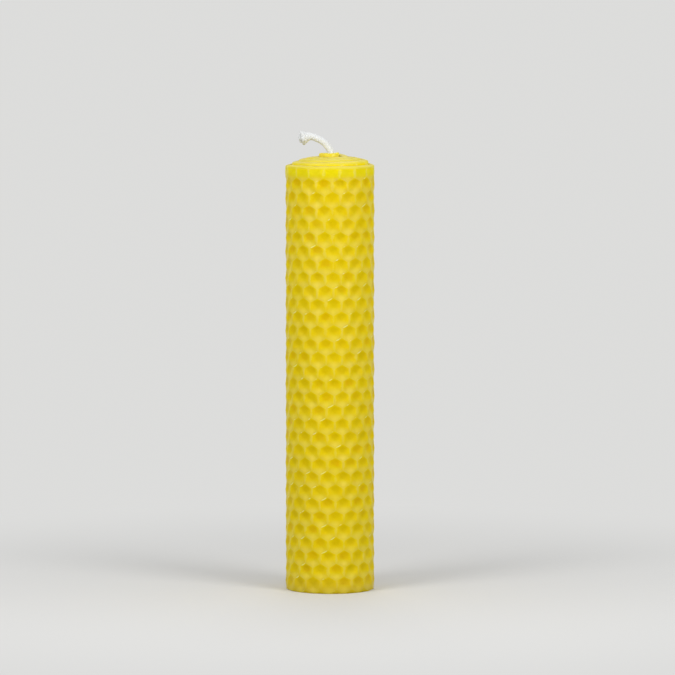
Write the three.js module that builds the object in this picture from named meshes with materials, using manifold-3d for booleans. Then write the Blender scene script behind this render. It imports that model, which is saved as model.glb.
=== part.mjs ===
// A rolled honeycomb candle: one sheet of embossed beeswax wound round a cotton wick.
// Millimetres and degrees, +Z up, the origin under the middle of the candle, the front towards -Y.
import * as THREE from "three";
import { mergeVertices } from "three/addons/utils/BufferGeometryUtils.js";
import Module from "manifold-3d";

const wasm = await Module();
wasm.setup();

// The candle
const height = 150; // foot to the outer turn's rim, at the front
const diameter = 31.5; // over the ridges, from side to side

// The sheet
const sheetThickness = 1.8; // over the ridges
const turnGap = 0.6; // between one turn's ridges and the back of the next turn
const seamAngle = 170; // the sheet's outer end, round the candle from the front
const askew = 0.6; // the sheet is rolled this far out of square, so its top edge climbs inwards
const collarRise = 1.4; // the innermost turn stands this proud of the straight edge
const collarLength = 10; // of sheet that stands fully proud
const collarFall = 12; // of sheet in which the edge comes down again
const rimBand = 2.8; // of the outer turn, pressed smooth along its top edge

// The honeycomb
const cellWidth = 5.4; // across flats, on the flat sheet
const cellDepth = 0.95;
const floorShare = 0.55; // a cell's floor, as a share of its mouth
const firstRowHeight = 3.4; // foot to the middle of the lowest whole row
const firstCellShift = 0.65; // middle of that row's front cell, round from the front
const seamOverlap = 1.5; // of honeycomb that is tucked under the sheet's outer end

// The wick
const wickDiameter = 2.5;
const wickClearance = 0.3; // wick to wax
const wickFootInset = 0.5; // its lower end lies this far above the foot
const flareDiameter = 5; // across the frayed end
const flareLength = 2.4;
const flareBulge = 1.7; // of the frayed end's middle, past its rim

// The wick's bare stub: to the left of the axis, and up from the collar's rim
const stubRoute = [
  [0.3, 0.2],
  [1.4, 2.2],
  [2.8, 3.8],
  [5.0, 5.0],
  [7.4, 5.6],
  [9.8, 5.3],
];
const stubLeadIn = 8; // of straight wick below the collar's rim, where the bend starts

// Facets
const stepsPerTurn = 32;
const wickSides = 12;
const stubSteps = 22;

// The roll is an even spiral, measured on the sheet's middle layer
const turnPitch = sheetThickness + turnGap;
const startRadius = wickDiameter / 2 + wickClearance + sheetThickness / 2;
const frontRadius = (diameter - sheetThickness) / 2;
const lengthTo = (radius) => (Math.PI * (radius ** 2 - startRadius ** 2)) / turnPitch;
const radiusAt = (s) => Math.sqrt(startRadius ** 2 + (turnPitch * s) / Math.PI);
const turnsTo = (radius) => (radius - startRadius) / turnPitch;
const lengthAfterTurns = (turns) => lengthTo(startRadius + turns * turnPitch);
const frontLength = lengthTo(frontRadius);

// The top edge is straight in the flat sheet, apart from the collar of the innermost turn
const skew = THREE.MathUtils.degToRad(askew);
function topEdge(s) {
  const collar = 1 - THREE.MathUtils.smoothstep(s, collarLength, collarLength + collarFall);
  return height - (s - frontLength) * Math.tan(skew) + collarRise * collar;
}
const collarTop = topEdge(0);

// A point of the sheet is [s, z, h]: along the roll, up, and out from the middle layer.
// The roll grows clockwise, seen from above.
function roll([s, z, h]) {
  const radius = radiusAt(s);
  const angle = -Math.PI / 2 - 2 * Math.PI * (turnsTo(radius) - turnsTo(frontRadius));
  const out = radius + h;
  return new THREE.Vector3(out * Math.cos(angle), out * Math.sin(angle), z);
}

// The honeycomb's lattice, u along its rows and v across them, lies square to the sheet's top edge
const cellSide = cellWidth / Math.sqrt(3);
const rowPitch = 1.5 * cellSide;
const latticePoint = (u, v, h) => [
  frontLength + firstCellShift + u * Math.cos(skew) + v * Math.sin(skew),
  firstRowHeight + v * Math.cos(skew) - u * Math.sin(skew),
  h,
];

// Whole cells from the front to the sheet's outer end, and back round the outer turn
const seamRadius = frontRadius + (turnPitch * seamAngle) / 360;
const seamLength = lengthTo(seamRadius);
const outerTurnLength = seamLength - lengthTo(seamRadius - turnPitch);
const cellsToSeam = Math.round((seamLength - frontLength - firstCellShift) / cellWidth - 0.5);
const columns = Math.ceil((outerTurnLength + seamOverlap) / cellWidth);
const endColumn = (cellsToSeam + 0.5) * cellWidth;
const startColumn = endColumn - columns * cellWidth;
const endRadius = radiusAt(latticePoint(endColumn, 0, 0)[0]);

// Whole rows up to the smooth rim, and one or more that the foot cuts
const outerTurnClimb = outerTurnLength * Math.sin(skew);
const lowestRow = -Math.ceil((firstRowHeight - cellSide / 2 + outerTurnClimb) / rowPitch);
const highestRow = Math.floor((height - rimBand - cellSide - firstRowHeight) / rowPitch);
const blankDepth = 2 * cellSide - firstRowHeight - lowestRow * rowPitch; // cut off below the foot

const outside = sheetThickness / 2;
const inside = -sheetThickness / 2;
const pitFloor = outside - cellDepth;
const isOffset = (row) => Math.abs(row) % 2 === 1;

// Triangles of the sheet, anticlockwise seen from outside the flat sheet.
// The roll mirrors the flat sheet, so each one is turned round.
const sheetTriangles = [];
function face(a, b, c) {
  for (const point of [a, c, b]) {
    sheetTriangles.push(...roll(point).toArray());
  }
}

// Fills the band between two lines of points that both run along (or both run up) the sheet,
// the second line on the left of the first
const along = 0;
const up = 1;
function band(right, left, axis) {
  let i = 0;
  let j = 0;
  const nextKey = (line, k) => (k < line.length - 1 ? line[k + 1][axis] : Infinity);
  while (i < right.length - 1 || j < left.length - 1) {
    if (nextKey(right, i) <= nextKey(left, j)) {
      face(right[i], right[i + 1], left[j]);
      i += 1;
    } else {
      face(right[i], left[j + 1], left[j]);
      j += 1;
    }
  }
}

// Six corners round a cell's middle, from the right of its foot anticlockwise
function cellCorners(u, v, share, h) {
  const corners = [];
  for (let k = 0; k < 6; k += 1) {
    const turn = ((k - 0.5) * Math.PI) / 3;
    corners.push(
      latticePoint(u + share * cellSide * Math.cos(turn), v + share * cellSide * Math.sin(turn), h),
    );
  }
  return corners;
}

// One sunk cell: sloping walls from its mouth, shared with its neighbours, to a flat floor
function cell(u, v) {
  const mouth = cellCorners(u, v, 1, outside);
  const floor = cellCorners(u, v, floorShare, pitFloor);
  for (let k = 0; k < 6; k += 1) {
    const next = (k + 1) % 6;
    face(mouth[k], mouth[next], floor[next]);
    face(mouth[k], floor[next], floor[k]);
  }
  for (let k = 1; k < 5; k += 1) {
    face(floor[0], floor[k], floor[k + 1]);
  }
}

// Corner k of a row's upper (side 1) or lower (side -1) zigzag, half a cell apart
function zigzag(row, side, k) {
  const isPeak = (k % 2 === 1) !== isOffset(row);
  const reach = isPeak ? cellSide : cellSide / 2;
  return latticePoint(startColumn + (k * cellWidth) / 2, row * rowPitch + side * reach, outside);
}

// Corners up one side of the honeycomb, left (k 0) or right
function sideLine(k) {
  const line = [zigzag(lowestRow, -1, k)];
  for (let row = lowestRow; row <= highestRow; row += 1) {
    line.push(zigzag(row, 1, k));
  }
  return line;
}

// A solid half cell, which fills an offset row up to side k of the honeycomb
function halfCell(row, k, inward) {
  const foot = zigzag(row, -1, k);
  const head = zigzag(row, 1, k);
  const innerFoot = zigzag(row, -1, k + inward);
  const innerHead = zigzag(row, 1, k + inward);
  if (inward > 0) {
    band([innerFoot, innerHead], [foot, head], up);
  } else {
    band([foot, head], [innerFoot, innerHead], up);
  }
}

function honeycomb() {
  for (let row = lowestRow; row <= highestRow; row += 1) {
    const shift = isOffset(row) ? 1 : 0.5;
    const count = isOffset(row) ? columns - 1 : columns;
    for (let column = 0; column < count; column += 1) {
      cell(startColumn + (column + shift) * cellWidth, row * rowPitch);
    }
    if (isOffset(row)) {
      halfCell(row, 0, 1);
      halfCell(row, 2 * columns, -1);
    }
  }
}

// Lines of points along the sheet's edges; plain stretches have one point for each spiral step
function plainLine(limit, edgeHeight, h) {
  const line = [];
  for (let step = 0; lengthAfterTurns(step / stepsPerTurn) < limit; step += 1) {
    const s = lengthAfterTurns(step / stepsPerTurn);
    line.push([s, edgeHeight(s), h]);
  }
  return line;
}

function sheetGeometry() {
  const blankEdge = () => -blankDepth;
  const corners = Array.from({ length: 2 * columns + 1 }, (_, k) => k);
  const combTop = corners.map((k) => zigzag(highestRow, 1, k));
  const combBottom = corners.map((k) => zigzag(lowestRow, -1, k));
  const combRim = combTop.map(([s]) => [s, topEdge(s), outside]);
  const combFoot = combBottom.map(([s]) => [s, -blankDepth, outside]);

  const stepLength = (2 * Math.PI * frontRadius) / stepsPerTurn;
  const plainLimit = combFoot[0][0] - stepLength / 2;
  const plainRim = plainLine(plainLimit, topEdge, outside);
  const plainFoot = plainLine(plainLimit, blankEdge, outside);
  const outerRim = [...plainRim, ...combRim];
  const outerFoot = [...plainFoot, ...combFoot];

  const endFoot = combFoot.at(-1);
  const endRim = combRim.at(-1);
  const backLimit = endFoot[0] - stepLength / 2;
  const innerRim = [...plainLine(backLimit, topEdge, inside), [endRim[0], endRim[1], inside]];
  const innerFoot = [...plainLine(backLimit, blankEdge, inside), [endFoot[0], endFoot[1], inside]];

  honeycomb();
  band(combTop, combRim, along);
  band(combFoot, combBottom, along);
  band(plainFoot, plainRim, along);
  band([combFoot[0], ...sideLine(0), combRim[0]], [plainFoot.at(-1), plainRim.at(-1)], up);
  band(innerRim, innerFoot, along);
  band(outerRim, innerRim, along);
  band(innerFoot, outerFoot, along);
  band([innerFoot.at(-1), innerRim.at(-1)], [endFoot, ...sideLine(2 * columns), endRim], up);
  band([outerFoot[0], outerRim[0]], [innerFoot[0], innerRim[0]], up);

  reportLeastGap(outerRim, innerRim);
  const positions = new THREE.Float32BufferAttribute(sheetTriangles, 3);
  return new THREE.BufferGeometry().setAttribute("position", positions);
}

// Least distance, seen from above, from the ridges of each turn to the back of the next one
function reportLeastGap(outerRim, innerRim) {
  const backs = innerRim.map(roll);
  let least = Infinity;
  for (const ridge of outerRim) {
    const point = roll(ridge).setZ(0);
    const halfTurnLater = lengthTo(radiusAt(ridge[0]) + turnPitch / 2);
    for (let k = 1; k < backs.length; k += 1) {
      if (innerRim[k - 1][0] > halfTurnLater) {
        const segment = new THREE.Line3(backs[k - 1].clone().setZ(0), backs[k].clone().setZ(0));
        const nearest = segment.closestPointToPoint(point, true, new THREE.Vector3());
        least = Math.min(least, nearest.distanceTo(point));
      }
    }
  }
  console.log("least gap between the sheet's turns: " + least.toFixed(2) + " mm");
}

function solidOf(geometry) {
  const bare = geometry.clone();
  bare.deleteAttribute("normal");
  bare.deleteAttribute("uv");
  const merged = mergeVertices(bare, 1e-4);
  return new wasm.Manifold(
    new wasm.Mesh({
      numProp: 3,
      vertProperties: merged.attributes.position.array,
      triVerts: new Uint32Array(merged.index.array),
    }),
  );
}

function geometryOf(solid) {
  const { vertProperties, triVerts } = solid.getMesh();
  return new THREE.BufferGeometry()
    .setAttribute("position", new THREE.BufferAttribute(vertProperties, 3))
    .setIndex(new THREE.BufferAttribute(triVerts, 1));
}

// The rolled sheet, trimmed flat at its foot so that the candle stands
function honeycombSheet() {
  const trimWidth = 2 * diameter;
  const trim = new THREE.BoxGeometry(trimWidth, trimWidth, 2 * blankDepth);
  trim.translate(0, 0, -blankDepth);
  const wax = new THREE.MeshStandardMaterial({ color: 0xe8cc18, roughness: 0.45, metalness: 0 });
  const mesh = new THREE.Mesh(geometryOf(solidOf(sheetGeometry()).subtract(solidOf(trim))), wax);
  mesh.name = "honeycomb_sheet";
  return mesh;
}

// The wick: straight up the roll's axis, then a bent stub that widens to its frayed end
function wickGeometry() {
  const path = new THREE.CatmullRomCurve3(
    [
      new THREE.Vector3(0, 0, collarTop - stubLeadIn),
      new THREE.Vector3(0, 0, collarTop - stubLeadIn / 2),
      ...stubRoute.map(([left, up]) => new THREE.Vector3(-left, 0, collarTop + up)),
    ],
    false,
    "centripetal",
  );
  const pathLength = path.getLength();
  const flareStart = 1 - flareLength / pathLength;
  const foot = new THREE.Vector3(0, 0, wickFootInset);
  const upwards = new THREE.Vector3(0, 0, 1);
  const rings = [ringOf(foot, upwards, wickDiameter / 2)];
  for (let step = 0; step <= stubSteps; step += 1) {
    const t = step / stubSteps;
    const flare = THREE.MathUtils.smoothstep(t, flareStart, 1);
    const radius = THREE.MathUtils.lerp(wickDiameter, flareDiameter, flare) / 2;
    rings.push(ringOf(path.getPointAt(t), path.getTangentAt(t), radius));
  }
  const end = path.getPointAt(1);
  const outwards = path.getTangentAt(1);
  const shoulder = end.clone().addScaledVector(outwards, flareBulge * Math.SQRT1_2);
  rings.push(ringOf(shoulder, outwards, (flareDiameter / 2) * Math.SQRT1_2));
  const tip = end.clone().addScaledVector(outwards, flareBulge);

  const positions = [];
  const triangle = (...points) => points.forEach((point) => positions.push(...point.toArray()));
  for (let side = 0; side < wickSides; side += 1) {
    const next = (side + 1) % wickSides;
    for (let k = 1; k < rings.length; k += 1) {
      triangle(rings[k - 1][side], rings[k - 1][next], rings[k][next]);
      triangle(rings[k - 1][side], rings[k][next], rings[k][side]);
    }
    triangle(foot, rings[0][next], rings[0][side]);
    triangle(rings.at(-1)[side], rings.at(-1)[next], tip);
  }
  return new THREE.BufferGeometry().setAttribute(
    "position",
    new THREE.Float32BufferAttribute(positions, 3),
  );
}

// A ring of points square to a direction in the XZ plane, anticlockwise round it
function ringOf(centre, direction, radius) {
  const back = new THREE.Vector3(0, 1, 0);
  const side = new THREE.Vector3().crossVectors(back, direction).normalize();
  return Array.from({ length: wickSides }, (_, k) => {
    const turn = (2 * Math.PI * k) / wickSides;
    return centre
      .clone()
      .addScaledVector(side, radius * Math.cos(turn))
      .addScaledVector(back, radius * Math.sin(turn));
  });
}

function wick() {
  const cotton = new THREE.MeshStandardMaterial({ color: 0xe9e8da, roughness: 0.9, metalness: 0 });
  const mesh = new THREE.Mesh(wickGeometry(), cotton);
  mesh.name = "wick";
  return mesh;
}

// The spiral is half a pitch wider on its left than on its right, and widest at its outer end
// behind, so the roll's axis stands off centre
const rolled = new THREE.Group();
rolled.position.set(turnPitch / 4, (frontRadius - endRadius) / 2, 0);
rolled.add(honeycombSheet(), wick());

const candle = new THREE.Group();
candle.add(rolled);

export default candle;
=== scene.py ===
"""The looks of a rolled honeycomb candle, built round its packed frame. Metres, +Z up, front towards -Y."""

import math

import bmesh
import bpy
from bpy.props import FloatProperty, FloatVectorProperty, IntProperty, PointerProperty
from mathutils import Matrix, Vector


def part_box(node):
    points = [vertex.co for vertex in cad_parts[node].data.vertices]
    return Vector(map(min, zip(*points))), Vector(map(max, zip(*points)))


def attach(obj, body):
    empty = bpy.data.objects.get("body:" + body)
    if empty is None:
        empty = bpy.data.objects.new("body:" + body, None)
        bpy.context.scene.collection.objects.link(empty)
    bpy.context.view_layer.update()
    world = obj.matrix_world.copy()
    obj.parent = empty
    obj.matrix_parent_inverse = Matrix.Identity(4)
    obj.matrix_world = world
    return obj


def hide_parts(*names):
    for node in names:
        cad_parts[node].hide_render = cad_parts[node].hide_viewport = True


bl_info = {
    "name": "Rolled Honeycomb Candle",
    "version": (1, 0, 0),
    "blender": (4, 5, 0),
    "location": "3D View > Sidebar > Candle",
    "description": "A candle of embossed beeswax sheet, rolled round a braided cotton wick",
    "category": "Add Mesh",
}

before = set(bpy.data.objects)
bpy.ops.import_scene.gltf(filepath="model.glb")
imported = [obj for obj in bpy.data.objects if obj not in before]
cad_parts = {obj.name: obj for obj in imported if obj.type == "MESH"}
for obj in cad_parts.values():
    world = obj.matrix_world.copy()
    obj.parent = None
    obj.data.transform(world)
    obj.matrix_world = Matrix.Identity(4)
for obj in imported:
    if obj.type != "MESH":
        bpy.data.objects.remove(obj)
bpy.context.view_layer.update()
wick_low, wick_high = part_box("wick")
axis_y = (wick_low.y + wick_high.y) / 2

MM = 0.001


# Sizes and colours that a user would change

def length(name, default, description):
    """A size in metres."""
    return FloatProperty(
        name=name, default=default, description=description, subtype="DISTANCE", unit="LENGTH", precision=5
    )


def number(name, default, description):
    """A plain number, such as a share or a slope."""
    return FloatProperty(name=name, default=default, description=description)


def angle(name, degrees, description):
    """An angle, kept in radians."""
    return FloatProperty(
        name=name, default=math.radians(degrees), description=description, subtype="ANGLE", unit="ROTATION"
    )


def colour(name, default, description):
    """A linear colour."""
    return FloatVectorProperty(
        name=name, default=default, description=description, subtype="COLOR", size=3, min=0, max=1
    )


class SheetSizes(bpy.types.PropertyGroup):
    """Sizes of the embossed beeswax sheet and of its roll."""

    rim_height: length("Rim height", 0.150, "Foot to the outer turn's rim, at the front")
    diameter: length("Diameter", 0.0315, "Over the ridges, from side to side")
    thickness: length("Thickness", 0.0018, "Of the sheet, over its ridges")
    turn_gap: length("Turn gap", 0.0006, "Between one turn's ridges and the next turn's back")
    start_radius: length("Start radius", 0.00245, "The roll's axis to the middle of the innermost turn")
    askew: angle("Askew", 0.6, "How far out of square the sheet is rolled")
    outer_end: number("Outer end", 8.5, "Cells from the front to the sheet's outer end")
    end_trim: length("End trim", 0.0003, "How far inside a cell's edge the outer end is cut")
    cell_width: length("Cell width", 0.0054, "Across flats, on the flat sheet")
    pit_depth: length("Pit depth", 0.00075, "Ridge to the middle of a cell's floor")
    floor_slope: number("Floor slope", 0.1, "Of each of the three faces of a cell's floor")
    ridge_width: length("Ridge width", 0.00032, "Of the level top of the ridges")
    upper_wall: number("Upper wall", 0.45, "Of a cell's upper wall, as a share of half a cell")
    side_wall: number("Side wall", 0.75, "Of its side walls, likewise")
    lower_wall: number("Lower wall", 0.94, "Of its lower wall, likewise")
    first_row_height: length("First row height", 0.0029, "Foot to the middle of the first row")
    first_cell_shift: length("First cell shift", 0.00105, "From the front to the nearest cell's middle")
    ridge_sag: length("Ridge sag", 0.0004, "Of the slanted ridges, below the upright ones")
    wobble: length("Wobble", 0.00022, "How far pressing by hand has moved the ridges")
    shallowest: number("Shallowest", 0.75, "Least depth of a cell, as a share of the pit depth")
    lip_radius: length("Lip radius", 0.0004, "Rounding of the sheet's cut edges")
    top_slant: number("Top slant", 0.36, "Slope pressed on the top edge")
    top_swell: number("Top swell", 0.3, "How much thicker the inner turns' top is")
    seed: IntProperty(name="Seed", default=7, description="Varies the cells' tones")


class WickSizes(bpy.types.PropertyGroup):
    """Sizes of the braided cotton wick."""

    foot_inset: length("Foot inset", 0.0005, "Candle's foot to the wick's lower end")
    lead_in: length("Lead in", 0.008, "Straight wick below the collar, where the bend starts")
    yarns: IntProperty(name="Yarns", default=6, description="Yarns that wind each way")
    core_yarns: IntProperty(name="Core yarns", default=7, description="Straight yarns inside the braid")
    yarn_radius: length("Yarn radius", 0.00052, "Of one yarn")
    braid_radius: length("Braid radius", 0.00072, "Axis to the middle of the winding yarns")
    core_radius: length("Core radius", 0.00034, "Axis to the middle of the straight yarns")
    crossing: length("Crossing", 0.00004, "How far a yarn rises where it passes over another")
    lay: length("Lay", 0.0085, "Length in which a yarn goes once round")
    fray_length: length("Fray length", 0.0055, "Of the end in which the yarns spread")
    fray_spread: length("Fray spread", 0.00135, "How far the yarns' ends spread")
    seed: IntProperty(name="Seed", default=3, description="Varies the yarns' cut ends")


class Finishes(bpy.types.PropertyGroup):
    """Colours of the wax and the cotton."""

    # Pale wax bloom, with a painted highlight of the light from above, on the ridges and on what faces up
    wax_bloom_and_highlight: colour("Wax ridge", (0.90, 0.68, 0.05), "Pale bloom on the ridges and on what looks up")
    # The cut top edge: cut wax with a painted highlight of the light from above
    wax_cut_with_highlight: colour("Wax cut", (0.79, 0.645, 0.045), "Cut top edge of the sheet")
    # Painted glints where the ridges catch the light
    wax_painted_glint: colour("Wax scuff", (1.0, 0.92, 0.32), "Rubbed bits of the ridges")
    wax_face: colour("Wax face", (0.92, 0.66, 0.0), "Bare wax")
    wax_smooth: colour("Wax smooth", (1.0, 0.77, 0.0), "Wax pressed smooth at the rim")
    # Painted shade in the upper halves of the cells, under their walls that face down, away from the light
    wax_painted_shade: colour("Wax pit", (0.89, 0.62, 0.0), "Upper half of a cell")
    wax_amber_painted_shade: colour("Wax amber", (0.91, 0.58, 0.0), "Upper half of the darkest cells")
    # Painted shade at the foot, darker towards the floor, where less light reaches
    wax_painted_foot_shade: colour("Wax dull", (0.62, 0.46, 0.02), "Handled wax at the foot")
    cotton: colour("Cotton", (0.80, 0.82, 0.825), "Bleached cotton yarn")
    cotton_shade: colour("Cotton shade", (0.76, 0.77, 0.76), "Between the yarns")


class StageSizes(bpy.types.PropertyGroup):
    """The camera and the plain studio round the candle."""

    camera_distance: length("Camera distance", 1.8, "To the plane of the roll's axis")
    camera_height: length("Camera height", 0.2492, "Above the floor")
    camera_right: length("Camera right", 0.00265, "To the right of the frame's origin")
    camera_tilt: angle("Camera tilt", 5.08, "Down from level")
    lens: number("Lens", 273.0, "Focal length in millimetres")
    sensor: number("Sensor", 36.0, "Sensor width in millimetres")
    floor_colour: colour("Floor colour", (0.72, 0.72, 0.71), "Plain pale floor")
    floor_size: length("Floor size", 40.0, "Side of the floor")


# Node trees

class Graph:
    """Adds nodes to a tree and wires them up."""

    columns = 10
    column_width = 200
    row_height = 260

    def __init__(self, tree):
        self.nodes = tree.nodes
        self.links = tree.links

    def node(self, kind, inputs=(), **settings):
        """A node with its settings, and its inputs by name or number."""
        row, column = divmod(len(self.nodes), self.columns)
        made = self.nodes.new(kind)
        made.location = (column * self.column_width, -row * self.row_height)
        for name, value in settings.items():
            setattr(made, name, value)
        self.feed(made, inputs)
        return made

    def feed(self, node, inputs):
        """Links a node's inputs to sockets, or sets their values. A colour gets its alpha."""
        for key, value in dict(inputs).items():
            socket = node.inputs[key]
            if isinstance(value, bpy.types.NodeSocket):
                self.links.new(value, socket)
            else:
                socket.default_value = (*value, 1.0) if socket.type == "RGBA" else value

    def out(self, kind, inputs=(), **settings):
        """The first output of a new node."""
        return self.node(kind, inputs, **settings).outputs[0]

    def math(self, operation, *terms):
        return self.out("ShaderNodeMath", dict(enumerate(terms)), operation=operation)

    def add(self, *terms):
        total = terms[0]
        for term in terms[1:]:
            total = self.math("ADD", total, term)
        return total

    def subtract(self, a, b):
        return self.math("SUBTRACT", a, b)

    def multiply(self, *terms):
        product = terms[0]
        for term in terms[1:]:
            product = self.math("MULTIPLY", product, term)
        return product

    def divide(self, a, b):
        return self.math("DIVIDE", a, b)

    def ease(self, value, low, high, start=0.0, end=1.0):
        """Goes smoothly from start to end while the value goes from low to high."""
        inputs = {"Value": value, "From Min": low, "From Max": high, "To Min": start, "To Max": end}
        return self.out("ShaderNodeMapRange", inputs, interpolation_type="SMOOTHSTEP")

    def vector(self, operation, a, b):
        return self.out("ShaderNodeVectorMath", {0: a, 1: b}, operation=operation)

    def scaled(self, vector, factor):
        inputs = {0: vector, "Scale": factor}
        return self.out("ShaderNodeVectorMath", inputs, operation="SCALE")

    def combine(self, x, y, z):
        return self.out("ShaderNodeCombineXYZ", {0: x, 1: y, 2: z})

    def split(self, vector):
        return self.node("ShaderNodeSeparateXYZ", {0: vector}).outputs

    def random(self, index, seed, offset):
        """A number from 0 to 1 for each index, always the same for the same seed."""
        place = self.combine(index, seed, offset)
        return self.out("ShaderNodeTexWhiteNoise", {"Vector": place}, noise_dimensions="3D")

    def attribute(self, name, output="Fac"):
        return self.node("ShaderNodeAttribute", attribute_name=name).outputs[output]

    def noise(self, place, scale, detail=2.0, output="Fac"):
        inputs = {"Vector": place, "Scale": scale, "Detail": detail}
        return self.node("ShaderNodeTexNoise", inputs).outputs[output]

    def mix(self, factor, first, second):
        """A colour between two others."""
        inputs = {0: factor, 6: first, 7: second}
        return self.node("ShaderNodeMix", inputs, data_type="RGBA").outputs[2]

    def bump(self, height, strength, distance):
        inputs = {"Height": height, "Strength": strength, "Distance": distance}
        return self.out("ShaderNodeBump", inputs)

    def curve(self, value, points):
        """A hand-drawn curve through points from 0 to 1."""
        node = self.node("ShaderNodeFloatCurve", {"Value": value})
        line = node.mapping.curves[0]
        line.points[0].location = points[0]
        line.points[1].location = points[-1]
        for point in points[1:-1]:
            line.points.new(*point)
        node.mapping.update()
        return node.outputs[0]


class GeometryTree(Graph):
    """A geometry tree whose inputs have the names of sizes, and are set by their identifiers."""

    def __init__(self, name, numbers, vectors=(), objects=()):
        self.tree = bpy.data.node_groups.new(name, "GeometryNodeTree")
        super().__init__(self.tree)
        self.identifiers = {}
        self.socket("Geometry", "NodeSocketGeometry")
        for names, kind in (
            (numbers, "NodeSocketFloat"),
            (vectors, "NodeSocketVector"),
            (objects, "NodeSocketObject"),
            (("material",), "NodeSocketMaterial"),
        ):
            for wanted in names:
                self.identifiers[wanted] = self.socket(wanted, kind).identifier
        self.socket("Geometry", "NodeSocketGeometry", "OUTPUT")
        self.given = self.node("NodeGroupInput").outputs

    def socket(self, name, kind, side="INPUT"):
        return self.tree.interface.new_socket(name, in_out=side, socket_type=kind)

    def set_position(self, geometry, position, selection=True):
        inputs = {"Geometry": geometry, "Position": position, "Selection": selection}
        return self.out("GeometryNodeSetPosition", inputs)

    def store(self, geometry, name, value, data_type="FLOAT"):
        inputs = {"Geometry": geometry, "Name": name, "Value": value}
        return self.out("GeometryNodeStoreNamedAttribute", inputs, domain="POINT", data_type=data_type)

    def join(self, *geometries):
        node = self.node("GeometryNodeJoinGeometry")
        for geometry in reversed(geometries):
            self.links.new(geometry, node.inputs[0])
        return node.outputs[0]

    def finish(self, geometry):
        """Ends the tree in real, smooth faces with the material on them."""
        smooth = self.out("GeometryNodeSetShadeSmooth", {"Geometry": geometry})
        real = self.out("GeometryNodeRealizeInstances", {"Geometry": smooth})
        inputs = {"Geometry": real, "Material": self.given["material"]}
        dressed = self.out("GeometryNodeSetMaterial", inputs)
        self.node("NodeGroupOutput", {"Geometry": dressed})

    def apply(self, obj, sizes, **others):
        """Runs the tree with the sizes and what else is given, and leaves a plain mesh."""
        modifier = obj.modifiers.new(self.tree.name, "NODES")
        modifier.node_group = self.tree
        for name, identifier in self.identifiers.items():
            value = others[name] if name in others else getattr(sizes, name)
            modifier[identifier] = float(value) if isinstance(value, int) else value
        graph = bpy.context.evaluated_depsgraph_get()
        graph.update()
        mesh = bpy.data.meshes.new_from_object(obj.evaluated_get(graph))
        obj.modifiers.remove(modifier)
        obj.data = mesh


def new_object(name, data=None):
    """An object in the scene, with an empty mesh unless it is given data."""
    obj = bpy.data.objects.new(name, data or bpy.data.meshes.new(name))
    bpy.context.scene.collection.objects.link(obj)
    return obj


# The honeycomb sheet, embossed flat and then rolled.
# In the flat sheet s runs along the roll, z up, and h out from the sheet's middle layer.
# The honeycomb's own lattice, u along its rows and v across them, is a little askew in it.

SPOKES = 12  # points round a cell: its six corners and the middles of its six sides
FLOOR_CORNERS = (90, 210, 330)  # a cell's floor is three rhombi, which rise to these corners
SAG = (0, 0.5, 1, 0.5, 1, 0.5)  # share of the ridge sag, at the middles of the ridges and the corners between
CATCH = {7: 0.4, 8: 1.0, 9: 0.4}  # how much painted glint the ridge at each spoke gets, where it catches the light
CORNER_ROUNDING = 0.06  # how much nearer a cell's corners lie, inside its ridges
FINE_RINGS = (1, 0.94, 0.86, 0.77, 0.66, 0.34)  # of a cell that shows, as shares of its size
COARSE_RINGS = (1,)  # of a cell that the outer turn hides
FINE_MARGIN = 0.75  # of a cell, past one whole turn
MERGE_DISTANCE = 0.02 * MM
BACK_ROWS = 12  # lines of points in the sheet's plain back
BACK_POINTS = 4  # of each such line, for one cell
NOISE_RANGE = (0.3, 0.7)  # nearly all of a noise's values
NOISE_CORE = (0.35, 0.65)  # most of them
WOBBLE_SCALE = 170.0  # of the noise that moves the ridges
PATCH_SCALE = 130.0  # of the patches in which the cells are shallower
WOBBLE_ALONG = 3.0  # ridges move this much more along the sheet than out of it
PRESS_START = 5.2 * MM  # below the rim, where the cells start to flatten
PRESS_END = 1.8 * MM
PRESSED_DEPTH = 0.35  # of a cell at the rim, as a share of its depth
FOOT_PRESS = 3.0 * MM  # above the foot, where the cells start to flatten
FOOT_DEPTH = 0.9  # of a cell at the foot, as a share of its depth

CUT_TOLERANCE = 0.001 * MM
RIM_CUTS = (6.0, 4.0, 2.6, 1.6, 0.9, 0.6, 0.42, 0.27, 0.15, 0.06)  # millimetres inside the rim
END_CUTS = (3.0, 1.5, 0.6, 0.3, 0.12)  # millimetres inside the sheet's two ends
FOOT_CUTS = (0.15, 0.06)  # millimetres above the foot
FOOT_RADIUS = 0.15 * MM

# How far the top edge stands above its straight line, in millimetres, along the sheet
CLIMB_CURVE = (
    (0, 1.75), (3, 1.5), (10, 1.45), (20, 0.75), (28, 0.45), (40, 0.6), (57, 0.68), (81, 0.77),
    (109, 0.85), (140, 0.82), (176, 0.95), (195, 0.75), (215, 0.7), (238, 0.35), (258, 0.15),
    (281, 0.33), (305, 0.5), (340, 0.4),
)
SLANT_START = (12 * MM, 28 * MM)  # along the sheet, where the slant of the top fades in
SLANT_FULL = 124 * MM  # along the sheet, from where it stays as steep
SWELL_START = (3 * MM, 12 * MM)  # along the sheet, where the swell of the top fades in
SWELL_END = (200 * MM, 240 * MM)  # along the sheet, where it fades out
TOP_BLEND = (0.5 * MM, 7 * MM)  # below the rim, where they fade out
CUT_EDGE = (4.0 * MM, 0.9 * MM)  # how wide the pale cut edge and its painted highlight are, at the collar and farther out
CUT_EDGE_START = 0.1 * MM  # below the rim, where it starts to fade
FRONT = -math.pi / 2  # round the roll's axis
SEAM_PRESS = 9 * MM  # of the outer end, pressed down on the turn below
SEAM_DROP = 0.75  # of the gap, closed there


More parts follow.
